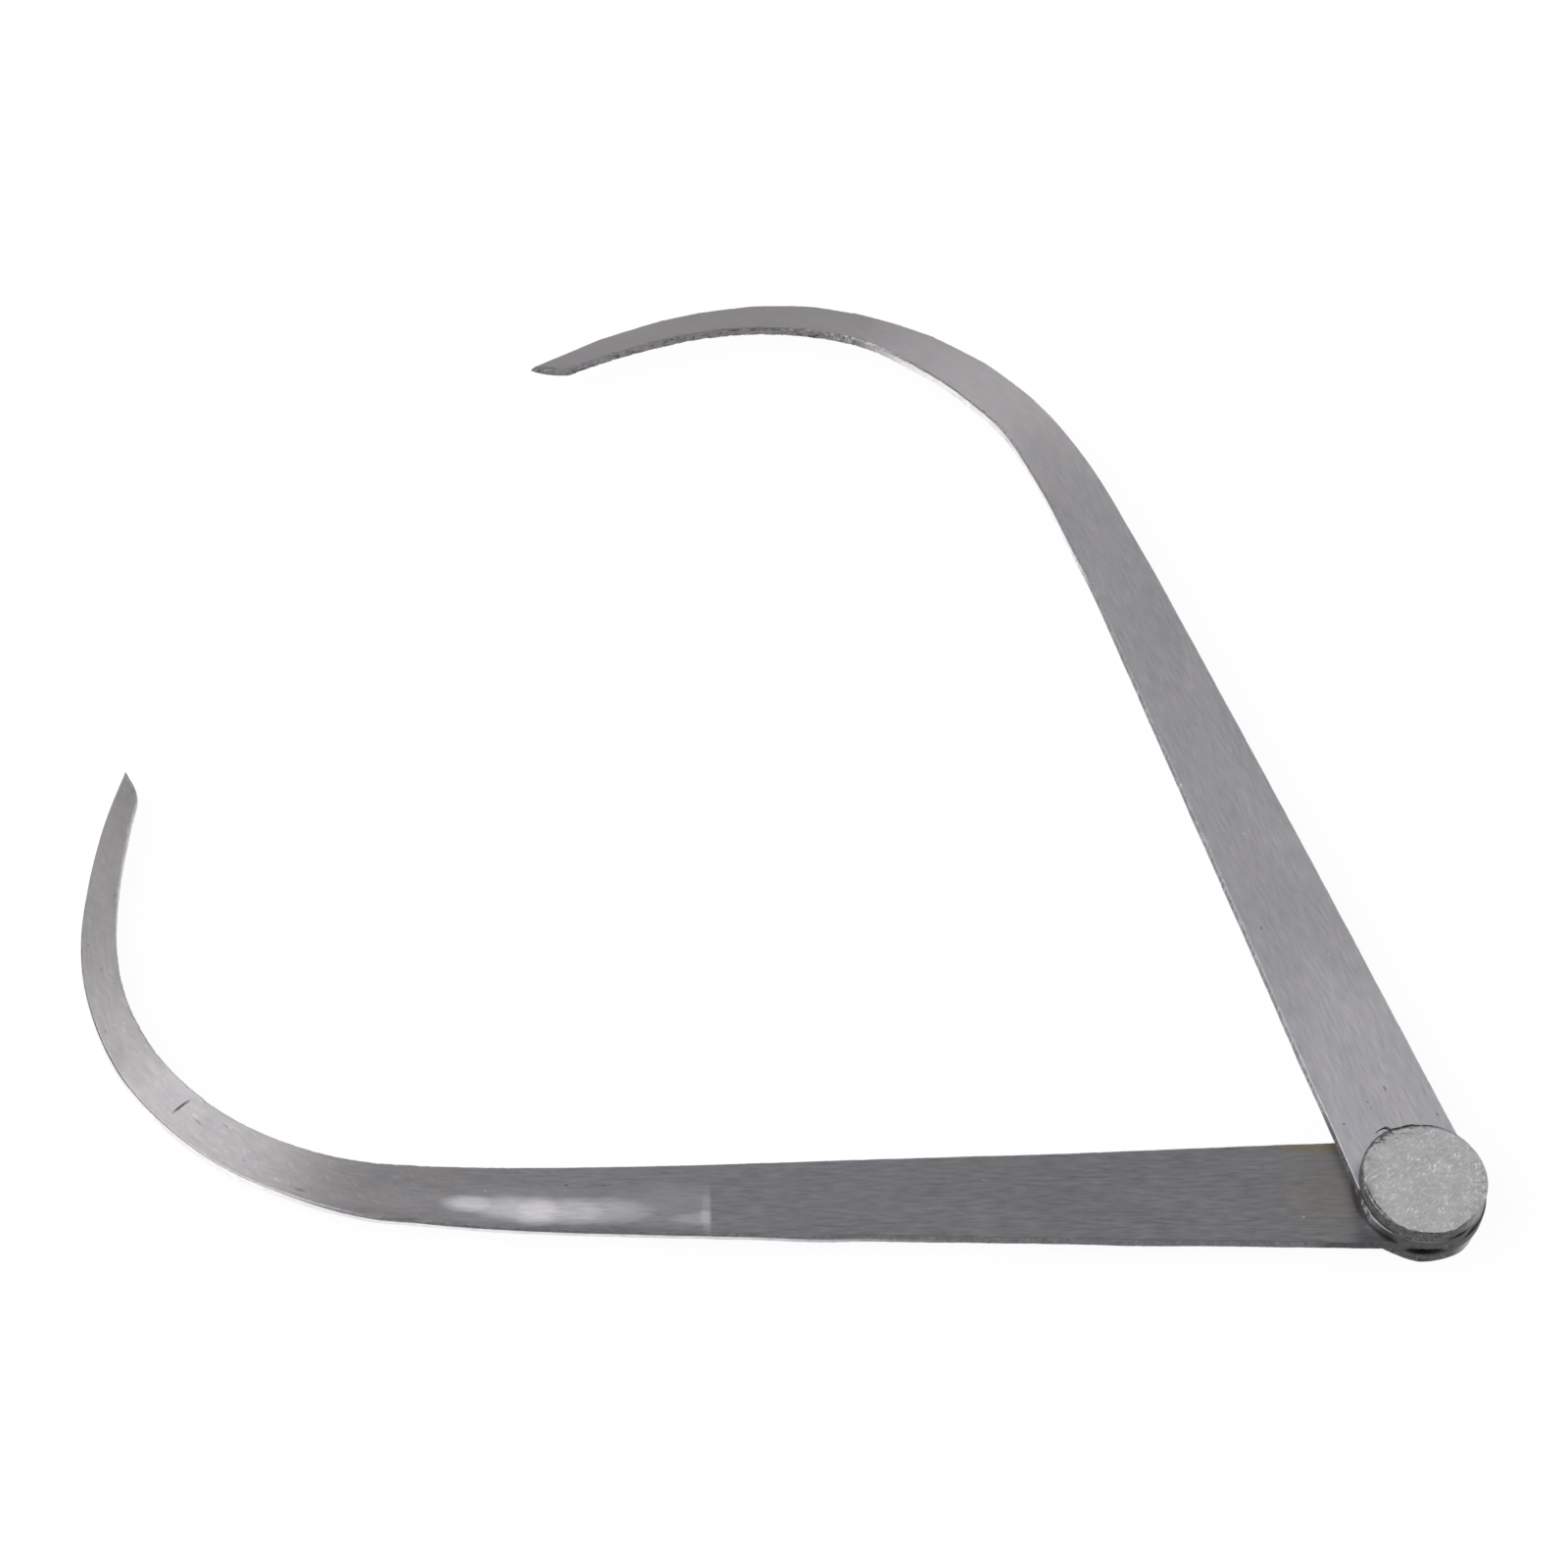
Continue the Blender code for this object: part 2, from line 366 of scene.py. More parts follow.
UPPER_LEG = {
    "top": UPPER_LEG_HIGH,
    "dark_depth": (0.75 * MM, 0.45 * MM),
    "edge_shade": 0.3,
    "grey": 0.371,
    "wall": (0.25, 0.25),
    "streaks": 0.13,
    "soft": 0.13,
    "slant": 0.16,
    "flecks": 0.05,
    "slant_angle": radians(20),
    "warm": 0.75,
    "ground": 0.92,
    "glare_and_polish": (),
    "lighter": (
        (10, 0, 60, 30, 0, 0.14),
        (242, 0, 45, 30, 0, 0.16),
        (325, 0, 55, 30, 0, 0.24),
        # Painted highlight: the next lightens the tip's ground bevel at the corner
        (355.7, 1.2, 0.6, 1.1, -1.6, 0.8),
        (357.4, 0, 0.5, 2.2, -1.6, 0.15),
    ),
    "dark": (
        (24.9, -2.4, 0.9, 0.35, 0, 0.6),
        (22.8, 2.5, 0.5, 0.35, 0, 0.45),
        (21.3, 2.4, 0.4, 0.3, 0, 0.4),
        (19.1, 9.5, 0.5, 0.4, 0, 0.55),
        (15.6, -10.6, 0.45, 0.35, 0, 0.5),
        # Painted shade: the next two darken the slot and gap at the head's foot
        (-13.3, -2.0, 1.1, 4.6, 0, 0.8),
        (-11.0, -8.0, 2.4, 3.6, 0, 0.6),
        (359.3, 0, 0.85, 2.6, -1.6, 0.4),
        (71.8, 7.0, 0.5, 0.35, 0, 0.5),
        (150, 2.5, 2.4, 0.3, 0, 0.15),
    ),
    "light": (
        (114, 9.3, 0.35, 0.3, 0, 0.5),
        (97, 1.0, 0.4, 0.3, 0, 0.35),
        (61, -4.5, 0.35, 0.3, 0, 0.35),
        (-5.5, 12.6, 7, 4.5, 0, 0.12),
    ),
    "stain": (),
    "ring_shadow": 0.0,
    # Painted highlight: walls painted near white where side light falls bright on them, round the bow and at
    # the joint
    "painted_light_wall": (
        (206, 8, 33, 12, 0, 1.0),
        (246, 8, 36, 12, 0, 0.9),
        (-8.5, -11, 5, 6, 0, 0.5),
        (-3.5, 13.2, 6.5, 4, 0, 0.13),
    ),
    # Painted shade on the rounded edges, over the highlights they would catch
    "edge_lines": (
        (-5, 12.5, 9, 5, 0, 0.5),
        (215, 8, 75, 14, 0, 0.6),
        (247, 8, 38, 12, 0, 0.8),
    ),
}
LOWER_LEG = {
    "top": LOWER_LEG_HIGH,
    "dark_depth": (1.1 * MM, 0.1 * MM),
    "edge_shade": 0.12,
    "grey": 0.355,
    "wall": (0.175, 0.27),
    "streaks": 0.3,
    "soft": 0.2,
    "slant": 0.42,
    "flecks": 0.22,
    "slant_angle": radians(50),
    "warm": 1.0,
    # Painted shade: the ground tip darkened well below the face, against the highlight its bevels catch
    "ground": 0.55,
    # Painted reflection: a near-white patch with a sharp end, standing in for a glare on the leg; it is also
    # smoother
    "glare_and_polish": (
        (198.8, -1.9, 8.2, 2.7, 0, 0.88),
        (190, -2.5, 12, 3.9, 0, 0.82),
        (185.5, -2.9, 9, 4.4, 0, 1.0),
        (178, -2.8, 12, 4.2, 0, 0.78),
        (172, -2.7, 15, 4.2, 0, 0.6),
        (168, -2.6, 9, 3.6, 0, 0.46),
        (184, -2.5, 27, 7.0, 0, 0.14),
        (157, -2.2, 18, 8.0, 0, 0.2),
        (151.5, -4.8, 9.5, 2.2, 0, 0.46),
        (150.5, -4.5, 2.4, 2.6, 0, 0.7),
        (150.2, -3.4, 2.0, 7.4, 0, 0.36),
    ),
    "lighter": (
        (259, 0, 31, 30, 0, 0.28),
        (322, 0, 46, 30, 0, 0.2),
        (213, -1.5, 12, 4, 0, 0.1),
    ),
    "dark": (
        (266.8, 0.42, 0.42, 3.0, 0, 0.95),
        (266.6, 2.0, 0.35, 1.2, -0.1, 0.6),
        (234.2, -3.7, 1.6, 0.5, 0.3, 0.35),
        (247.5, -1.9, 0.9, 0.5, 0, 0.2),
        (261.2, 0.1, 1.4, 0.5, 0.5, 0.2),
        (314.6, -1.9, 0.5, 0.35, 0, 0.4),
        (307.7, 0.4, 1.0, 0.7, 0.5, 0.18),
        (328, 3.2, 0.6, 0.25, 0, 0.35),
        # Painted shadow: the next darkens the lower leg's face beside the joint, where the upper leg's end
        # shades it
        (11, -11.4, 6, 2.6, 0, 0.4),
        (179.6, 3.5, 0.6, 0.4, 0, 0.5),
        (171.8, 3.5, 0.5, 0.35, 0, 0.4),
        (292, -2.8, 0.5, 0.3, 0, 0.35),
        (256, 3.0, 1.2, 0.25, 0, 0.3),
        # Painted shade: the next two darken the front edge and wall below the glare patch and into the bow
        (222, -7.5, 26, 4, 0, 0.14),
        (178, -7.8, 40, 2.4, 0, 0.2),
    ),
    "light": (
        (25.4, -6.0, 0.4, 0.35, 0, 0.75),
        (196.5, 1.5, 0.35, 0.3, 0, 0.5),
        (92, 4.0, 0.4, 0.3, 0, 0.3),
    ),
    "stain": (
        (20.5, 12.2, 11, 3.8, 0, 0.9),
        # The next is a faint darker olive tint over the face beside the upper leg
        (18, 2, 15, 16, 0, 0.22),
    ),
    "ring_shadow": 0.75,
    # Painted highlight: walls painted near white where side light falls bright on them, round the bow, at the
    # toe and at the joint
    "painted_light_wall": (
        (232, -9, 140, 16, 0, 1.0),
        (287, 5, 32, 7, 0, 0.8),
        (330, 3.5, 45, 5, 0, 0.38),
        (-13, -3, 4, 7, 0, 0.6),
    ),
    # Painted shade on the rounded edges, over the highlights they would catch
    "edge_lines": (
        (300, -9, 78, 16, 0, 0.9),
        (216, -7, 24, 3, 0, 0.3),
    ),
}
# Painted shadow: a dark ring on the lower leg round the upper leg's round end, as its contact shadow
RING_SHADOW_START = 15.1 * MM
RING_SHADOW_FULL = 14.1 * MM
# The painted reflection patch: where it ends, how soft its end is, its near-white grey and its lower roughness
PATCH_END = 149.5 * MM
PATCH_EDGE = 0.4 * MM
GLARE_GREY = 0.9
POLISHED_ROUGHNESS = 0.2

DARK_GREY = 0.07
LIGHT_GREY = 0.8
STAIN = (0.36, 0.32, 0.22, 1)
COOL = (0.992, 0.985, 1.062)
PLAIN = (1.014, 0.985, 1.024)
WARM = (1.032, 0.985, 0.99)
WARM_START = 175 * MM
WARM_FULL = 240 * MM
# Painted highlight: the near-white grey of the walls that side light would make bright, and their roughness
PAINTED_LIGHT_WALL_GREY = 0.97
# Painted shade: leg walls near the joint, dark as they face the other leg
JOINT_WALL_SHADE_GREY = 0.09
LEG_ROUGHNESS = 0.36
WALL_ROUGHNESS = 0.55
PAINTED_LIGHT_WALL_ROUGHNESS = 0.3


def oval(n, travel, across, mark):
    """A soft oval on the leg: 1 in its middle, 0 at its rim. Its lean shears it along the leg."""
    centre, offset, half_length, half_width, lean = mark
    aside = n.math("SUBTRACT", across, offset * MM)
    along = n.math("SUBTRACT", n.math("SUBTRACT", travel, centre * MM), n.times(aside, lean))
    along = n.times(along, 1 / (half_length * MM))
    aside = n.times(aside, 1 / (half_width * MM))
    reach = n.plus(n.times(along, along), n.times(aside, aside))
    return n.step(reach, 1.0, 0.0)


def ovals(n, travel, across, marks):
    """The strongest of several soft ovals at each point."""
    total = 0.0
    for *mark, strength in marks:
        total = n.math("MAXIMUM", total, n.times(oval(n, travel, across, mark), strength))
    return total


def leg_finish(leg):
    """Steel ground along the leg, with the marks of one leg."""

    def build(n, shader):
        travel = n.value("travel")
        across = n.value("across")
        wall = n.value("wall")
        place = n.add("ShaderNodeCombineXYZ")
        n.put(travel, place.inputs[0])
        n.put(across, place.inputs[1])
        place = place.outputs[0]
        position = n.add("ShaderNodeTexCoord").outputs["Object"]
        fine = n.noise(place, (150, 6500, 1), 3.0, 0.6)
        streaks = n.noise(place, (210, 1500, 1), 3.0, 0.6)
        soft = n.noise(place, (30, 110, 1))
        bow = n.step(travel, WARM_START, WARM_FULL)

        grey = n.plus(1.0, n.times(fine, 0.28), n.times(soft, leg["soft"]))
        brushed = n.times(streaks, leg["streaks"] / leg["grey"])
        slanted = n.turned(position, leg["slant_angle"])
        across_bow = n.times(n.noise(slanted, (260, 750, 1), 4.0, 0.68), leg["slant"])
        flecks = n.step(n.noise(slanted, (430, 1150, 1), 1.0), 0.1, 0.24, 0.0, leg["flecks"])
        flecks = n.times(flecks, n.step(travel, 290 * MM, 325 * MM, 1.0, 0.3))
        brushed = n.between(n.times(bow, 0.8), brushed, n.plus(across_bow, flecks))
        grey = n.plus(grey, brushed)
        grey = n.times(n.times(grey, leg["grey"]), n.plus(1.0, ovals(n, travel, across, leg["lighter"])))
        # Painted shade: the ground tip is darker, against the highlight its bevels catch
        grey = n.times(grey, n.between(n.value("ground"), 1.0, leg["ground"]))
        # Painted reflection: the glare patch, streaky, cut off sharply at its end
        glare_and_polish_mask = 0.0
        if leg["glare_and_polish"]:
            streaky = n.step(streaks, -0.3, 0.3, 0.82, 1.12)
            cut = n.step(travel, PATCH_END - PATCH_EDGE, PATCH_END + PATCH_EDGE)
            glare_and_polish_mask = n.times(n.times(ovals(n, travel, across, leg["glare_and_polish"]), cut), streaky)
        grey = n.between(glare_and_polish_mask, grey, GLARE_GREY)
        dark = ovals(n, travel, across, leg["dark"])
        grey = n.between(dark, grey, DARK_GREY)
        grey = n.between(ovals(n, travel, across, leg["light"]), grey, LIGHT_GREY)
        # Painted shadow: darker close to the pivot, where the upper leg meets the lower leg
        from_pivot = n.add("ShaderNodeVectorMath", operation="LENGTH")
        n.put(place, from_pivot.inputs[0])
        ring_shadow = n.step(from_pivot.outputs["Value"], RING_SHADOW_START, RING_SHADOW_FULL, 0.0, leg["ring_shadow"])
        grey = n.between(ring_shadow, grey, DARK_GREY)
        painted_light_wall = ovals(n, travel, across, leg["painted_light_wall"])
        # Painted shade: rounded edges darkened, most inside the edge line ovals, so that they show a dark line
        # and no highlight
        rounding = n.times(n.step(wall, 0.0, 0.35), n.step(wall, 1.0, 0.85))
        lines = ovals(n, travel, across, leg["edge_lines"])
        shade = n.math("MAXIMUM", lines, leg["edge_shade"])
        grey = n.times(grey, n.math("SUBTRACT", 1.0, n.times(rounding, shade)))
        cast = n.step(n.noise(place, (60, 190, 1)), -0.12, 0.12)
        face = n.mix(cast, n.tinted(grey, COOL), n.tinted(grey, PLAIN))
        patches = n.step(n.noise(place, (110, 240, 1)), -0.14, 0.14, 0.4, leg["warm"])
        face = n.mix(n.times(bow, patches), face, n.tinted(grey, WARM))
        if leg["stain"]:
            face = n.mix(ovals(n, travel, across, leg["stain"]), face, STAIN)

        side_grain = n.noise(position, (900, 900, 500), 3.0, 0.65)
        side = n.step(travel, 195 * MM, 225 * MM, *leg["wall"])
        # Painted shade: the walls darken towards the joint
        side = n.between(n.step(travel, 19 * MM, 25 * MM), JOINT_WALL_SHADE_GREY, side)
        side = n.times(side, n.plus(1.0, n.times(side_grain, 1.2)))
        torn = n.step(n.noise(position, (520, 520, 900), 3.0, 0.65), 0.02, 0.16, 1.0, 0.35)
        side = n.between(n.step(travel, 265 * MM, 288 * MM), side, n.times(side, torn))
        split = n.add("ShaderNodeSeparateXYZ")
        n.put(position, split.inputs[0])
        depth = n.math("SUBTRACT", leg["top"], split.outputs[2])
        # The painted highlight on a wall starts this far below the leg's face
        dark_depth = n.step(travel, 215 * MM, 245 * MM, *leg["dark_depth"])
        dark_depth = n.times(dark_depth, n.step(travel, 0.0, 20 * MM, 0.15, 1.0))
        below = n.step(n.math("SUBTRACT", depth, dark_depth), -0.15 * MM, 0.25 * MM)
        mottled = n.step(n.noise(position, (330, 330, 800), 3.0, 0.6), -0.15, 0.15, 0.85, 1.12)
        # Painted highlight: the wall's colour goes near white inside these ovals
        painted_light_wall = n.math("MINIMUM", n.times(n.times(painted_light_wall, below), mottled), 1.0)
        side = n.between(painted_light_wall, side, PAINTED_LIGHT_WALL_GREY)
        side = n.between(dark, side, DARK_GREY)
        side = n.tinted(side, PLAIN)
        n.put(n.mix(n.step(wall, 0.75, 1.0), face, side), shader.inputs["Base Color"])
        roughness = n.plus(LEG_ROUGHNESS, n.times(streaks, 0.12), n.times(soft, 0.06))
        roughness = n.between(glare_and_polish_mask, roughness, POLISHED_ROUGHNESS)
        wall_roughness = n.between(painted_light_wall, WALL_ROUGHNESS, PAINTED_LIGHT_WALL_ROUGHNESS)
        n.put(n.between(n.step(wall, 0.1, 0.6), roughness, wall_roughness), shader.inputs["Roughness"])
        shader.inputs["Anisotropic"].default_value = 0.8
        shader.inputs["Anisotropic Rotation"].default_value = 0.25
        tangent = n.add("ShaderNodeTangent", direction_type="UV_MAP", uv_map="grain")
        n.put(tangent.outputs[0], shader.inputs["Tangent"])
        height = n.between(n.step(wall, 0.3, 0.8), fine, n.times(side_grain, 4.0))
        n.put(n.bump(height, 0.02 * MM, 0.3), shader.inputs["Normal"])

    return build


def joint_finish(n, shader):
    """Hammered and blasted steel, darker on its walls, and black where its dirt and shade value is high: dirt
    and pits, and painted shade in the slots and between the pieces.
    """
    place = n.add("ShaderNodeTexCoord").outputs["Object"]
    wall = n.value("wall")
    dirt_and_shade = n.value("dirt_and_shade")
    turned = n.turned(place, radians(-38))
    grain = n.noise(turned, (700, 2500, 1500), 3.0, 0.65)
    flecks = n.noise(turned, (750, 3000, 1500), 1.0, 0.5)
    cloud = n.noise(place, (230, 230, 230))
    grey = n.plus(0.455, n.times(grain, 0.36), n.times(cloud, 0.14))
    grey = n.between(n.step(flecks, 0.17, 0.26, 0.0, 0.75), grey, 0.9)
    smear = n.noise(place, (420, 420, 1500), 3.0, 0.65)
    split = n.add("ShaderNodeSeparateXYZ")
    n.put(place, split.inputs[0])
    # Walls lighter towards +x, and more so lower down
    below_head = n.step(split.outputs[2], 9 * MM, 7 * MM, 0.2, 0.4)
    lighter_right_low = n.times(n.step(split.outputs[0], 5 * MM, 11 * MM), below_head)
    dark = n.plus(0.1, n.times(smear, 0.22), n.times(grain, 0.2), lighter_right_low)
    dark = n.between(n.step(n.noise(place, (1500, 1500, 2400), 1.0), 0.15, 0.25, 0.0, 0.6), dark, 0.4)
    grey = n.between(n.step(wall, 0.04, 0.4), grey, dark)
    grey = n.between(dirt_and_shade, grey, 0.015)
    n.put(n.tinted(grey, (1.004, 1.0, 1.018)), shader.inputs["Base Color"])
    n.put(n.plus(0.5, n.times(grain, -0.35), n.times(wall, 0.1)), shader.inputs["Roughness"])
    n.put(n.bump(grain, 0.1 * MM, 0.7), shader.inputs["Normal"])


def material(name, build):
    made = bpy.data.materials.new(name)
    made.use_nodes = True
    n = Nodes(made.node_tree)
    shader = n.add("ShaderNodeBsdfPrincipled")
    shader.inputs["Metallic"].default_value = 1
    build(n, shader)
    output = n.add("ShaderNodeOutputMaterial")
    n.put(shader.outputs[0], output.inputs["Surface"])
    return made


# Shapes

def rough(seed, u, v, scale_u, scale_v, octaves=3):
    """Repeatable noise, mostly between -0.5 and 0.5, at a place on a surface."""
    return noise.fractal((u * scale_u, v * scale_v, seed), 0.6, 2.0, octaves)


def smooth(value, low, high):
    """0 up to low, 1 from high on, and a smooth rise between them."""
    share = min(max((value - low) / (high - low), 0), 1)
    return share * share * (3 - 2 * share)


def near(azimuth, centre, width):
    """1 at the centre azimuth, in degrees, falling smoothly to 0 at this many degrees from it."""
    away = abs((degrees(azimuth) - centre + 180) % 360 - 180)
    return 1 - smooth(away, 0, width)


def middle_line(travel):
    """The point and heading at a distance along the leg's middle line, which bends to the left."""
    x = min(travel, STRAIGHT_RUN)
    y = MIDDLE_OFFSET
    left = max(travel - STRAIGHT_RUN, 0)
    heading = 0
    for radius, turn in ARCS:
        swept = min(left / radius, turn)
        x += radius * (sin(heading + swept) - sin(heading))
        y += radius * (cos(heading) - cos(heading + swept))
        heading += swept
        left -= radius * swept
    return Vector((x, y)), heading


def kinked(travel, kinks):
    """How far the outer edge, in mm, stands out at a kink and stays back between two of them."""
    for start, end in zip(kinks, kinks[1:]):
        if start <= travel < end:
            share = 2 * (travel - start) / (end - start) - 1
            return STRAIGHTENED * (share**2 - 1 / 3) * (end - start) ** 2
    return 0


def edge_point(travel, side, plan):
    """A point on the inner (side 1) or outer (side -1) edge. Behind the pivot the round end cuts in."""
    point, heading = middle_line(travel)
    half_width = ROOT_WIDTH / 2 + (TOE_WIDTH - ROOT_WIDTH) / 2 * travel / LEG_LENGTH
    for centre, reach, amount in plan["inner" if side > 0 else "outer"]:
        half_width += amount * MM * (1 - smooth(abs(travel - centre * MM), 0, reach * MM))
    if side < 0:
        half_width += kinked(travel / MM, plan["kinks"]) * MM
    edge = point + side * half_width * Vector((-sin(heading), cos(heading)))
    if travel < 0:
        radius = ROUND_END_RADIUS
        if side < 0:
            smaller = ROUND_END_RADIUS - plan["outer_end"] * MM
            radius -= smaller * (1 - smooth(-travel, END_BLEND_START, ROUND_END_RADIUS))
        reach = sqrt(max(radius**2 - travel**2, 0))
        edge.y = side * min(abs(edge.y), reach)
    return edge


def stations(plan):
    """Where the leg has a section: closer together at the round end and at the tip."""
    first = -sqrt(ROUND_END_RADIUS**2 - (ROOT_WIDTH / 2) ** 2)
    turns = np.linspace(pi / 2, np.arcsin(-first / ROUND_END_RADIUS), END_TURNS)
    tip = LEG_LENGTH - (plan["cut"] + 2 * plan["rounding"]) * MM
    run = np.linspace(first, tip, int((tip - first) / STATION_STEP))
    end = np.linspace(tip, LEG_LENGTH, int((LEG_LENGTH - tip) / TIP_STEP))
    return np.concatenate([-ROUND_END_RADIUS * np.sin(turns), run[1:], end[1:]]).tolist()


def inner_edge(travel, plan):
    """The inner edge. The tip cut takes it straight from a rounded corner to the point."""
    cut = plan["cut"] * MM
    rounding = plan["rounding"] * MM
    corner = LEG_LENGTH - cut
    low = corner - rounding
    high = corner + rounding
    if travel <= low:
        return edge_point(travel, 1, plan)
    start = edge_point(corner, 1, plan)
    point = edge_point(LEG_LENGTH, -1, plan)
    if travel >= high:
        return start.lerp(point, (travel - corner) / cut)
    share = (travel - low) / (high - low)
    ends = (edge_point(low, 1, plan), start.lerp(point, rounding / cut))
    return ends[0].lerp(start, share).lerp(start.lerp(ends[1], share), share)


def ground_off(spot, plan):
    """How far the grinding has gone at this place near the tip, from above and from below."""
    corner = edge_point(LEG_LENGTH - plan["cut"] * MM, 1, plan)
    along = edge_point(LEG_LENGTH, -1, plan) - corner
    length = along.length
    along.normalize()
    run = (spot - corner).dot(along)
    inwards = (spot - corner).dot(Vector((along.y, -along.x)))
    share = min(max(run / length, 0), 1)
    drops = []
    for at_point, power in zip(plan["ground"], (1, 3)):
        depth = GRIND_AT_CORNER + (at_point * MM - GRIND_AT_CORNER) * share**power
        drops.append(max(depth - GRIND_SLOPE * inwards, 0))
    return drops


class LegSection:
    """One section of a leg: a ring of points from the inner edge over the upper face and round."""

    def __init__(self, travel, seed, half, plan, turned_over):
        self.plan = plan
        self.turned_over = turned_over
        self.travel = travel
        self.seed = seed
        self.half = half
        self.middle, heading = middle_line(travel)
        self.left = Vector((-sin(heading), cos(heading)))
        self.outer = edge_point(travel, -1, plan)
        span = inner_edge(travel, plan) - self.outer
        self.width = span.length
        self.across = span.normalized() if self.width > 0 else Vector((0, 1))
        self.ring = []

    def add(self, place, z, wall, push=0.0):
        """A point this far from the outer edge, pushed out of the side wall that it is on."""
        spot = self.outer + self.across * place
        drops = [0, 0]
        if self.travel > LEG_LENGTH - 3 * self.plan["cut"] * MM:
            drops = ground_off(spot, self.plan)
            drops[1] = min(drops[1], 2 * self.half - drops[0] - LEAST_THICKNESS)
        if self.turned_over:
            drops.reverse()
        ground = min(drops[0 if z > 0 else 1] / GROUND_FULL, 1)
        z = min(max(z, drops[1] - self.half), self.half - drops[0])
        spot = spot + self.across * push
        self.ring.append((spot.x, spot.y, z, (spot - self.middle).dot(self.left), wall, ground))

    def edge_radius(self, number):
        """The worn radius of one of the four long edges. The inner ones are chipped along the bow."""
        wear = EDGE_WEAR * (rough(self.seed + number, self.travel, 0, 90, 0)
                            + 0.6 * rough(self.seed + number, self.travel, 5, 800, 1))
        radius = EDGE_RADIUS + wear
        at_joint = 1 - smooth(self.travel, 0, 12 * MM)
        radius += (JOINT_EDGE_RADIUS - radius) * at_joint
        if number == 0 and not self.turned_over:
            radius += 0.12 * MM * at_joint * (1 + 2 * rough(self.seed + 50, self.travel, 0, 700, 0, 2))
        if number in (0, 3):
            chip = max(rough(self.seed + 9 * number, self.travel, 2, 420, 1, 4) - 0.02, 0)
            start, full, _ = ROUGH_WALLS
            many = 0.4 + 0.6 * smooth(self.travel, start, full)
            radius += BOW_CHIPS * chip * many * smooth(self.travel, STRAIGHT_RUN, STRAIGHT_RUN + 50 * MM)
        return min(max(radius, 0.05 * MM), 0.45 * self.half, 0.3 * self.width)

    def side_push(self, z, side):
        """How far the wall stands out of its plane: sheared streaks down it and waves along it."""
        streaks = rough(self.seed + 20 + side, self.travel, z, 1300, 260)
        waves = rough(self.seed + 30 + side, self.travel, z, 130, 90, 2)
        start, full, calm = CALM_WALLS
        more = 1 + (calm - 1) * smooth(self.travel, start, full)
        if side > 0:
            start, full, roughest = ROUGH_WALLS
            more += (roughest - calm) * smooth(self.travel, start, full)
        held = min(self.width / (4 * MM), 1) * smooth(self.travel, -14 * MM, -2 * MM)
        return side * (WALL_STREAKS * streaks + WALL_WAVES * waves) * more * held

    def face(self, start, end, z):
        """Columns across a face. Those next to the edges are narrow, so that the face looks flat."""
        guard = min(max(end - start, -10 * EDGE_GUARD), 10 * EDGE_GUARD) / 10
        for place in np.linspace(start + guard, end - guard, FACE_COLUMNS).tolist():
            self.add(place, z, 0)
        self.add(end, z, 0)

    def edge(self, side, up, radius, down):
        """A quarter round from a face to a side wall, or from the wall to the face."""
        turns = np.linspace(0, pi / 2, ROUND_ROWS + 1)[1:].tolist()
        if not down:
            turns = [pi / 2 - turn for turn in turns]
        for turn in turns:
            z = up * (self.half - radius * (1 - cos(turn)))
            inset = radius * (1 - sin(turn))
            place = inset if side < 0 else self.width - inset
            self.add(place, z, sin(turn), self.side_push(z, side) * sin(turn))

    def side(self, side, start, end):
        place = 0 if side < 0 else self.width
        for share in np.linspace(0, 1, SIDE_ROWS)[1:].tolist():
            z = start + (end - start) * share
            self.add(place, z, 1, self.side_push(z, side))

    def build(self):
        half = self.half
        r = [self.edge_radius(number) for number in range(4)]
        self.face(self.width - r[0], r[1], half)
        self.edge(-1, 1, r[1], True)
        self.side(-1, half - r[1], r[2] - half)
        self.edge(-1, -1, r[2], False)
        self.face(r[2], self.width - r[3], -half)
        self.edge(1, -1, r[3], True)
        self.side(1, r[3] - half, half - r[0])
        self.edge(1, 1, r[0], False)
        return self.ring


def lofted(name, rings, closed_ends=True):
    """A smooth mesh through rings of points."""
    count = len(rings[0])
    points = [tuple(point) for ring in rings for point in ring]
    faces = []
    for i in range(len(rings) - 1):
        for j in range(count):
            k = (j + 1) % count
            faces.append((i * count + j, i * count + k, (i + 1) * count + k, (i + 1) * count + j))
    if closed_ends:
        last = (len(rings) - 1) * count
        faces.append(tuple(reversed(range(count))))
        faces.append(tuple(range(last, last + count)))
    mesh = bpy.data.meshes.new(name)
    mesh.from_pydata(points, [], faces)
    mesh.shade_smooth()
    piece = bpy.data.objects.new(name, mesh)
    bpy.context.scene.collection.objects.link(piece)
    return piece


def carry(piece, name, values):
    """Gives each point of the mesh a value that the material reads."""
    layer = piece.data.attributes.new(name, "FLOAT", "POINT")
    layer.data.foreach_set("value", np.asarray(values, np.float32))


def clean(piece):
    """Joins the points that meet, as on the axis of a turned piece, and points all faces out."""
    shape = bmesh.new()
    shape.from_mesh(piece.data)
    bmesh.ops.remove_doubles(shape, verts=shape.verts, dist=MERGE)
    bmesh.ops.dissolve_degenerate(shape, edges=shape.edges, dist=MERGE)
    bmesh.ops.recalc_face_normals(shape, faces=shape.faces)
    shape.to_mesh(piece.data)
    shape.free()


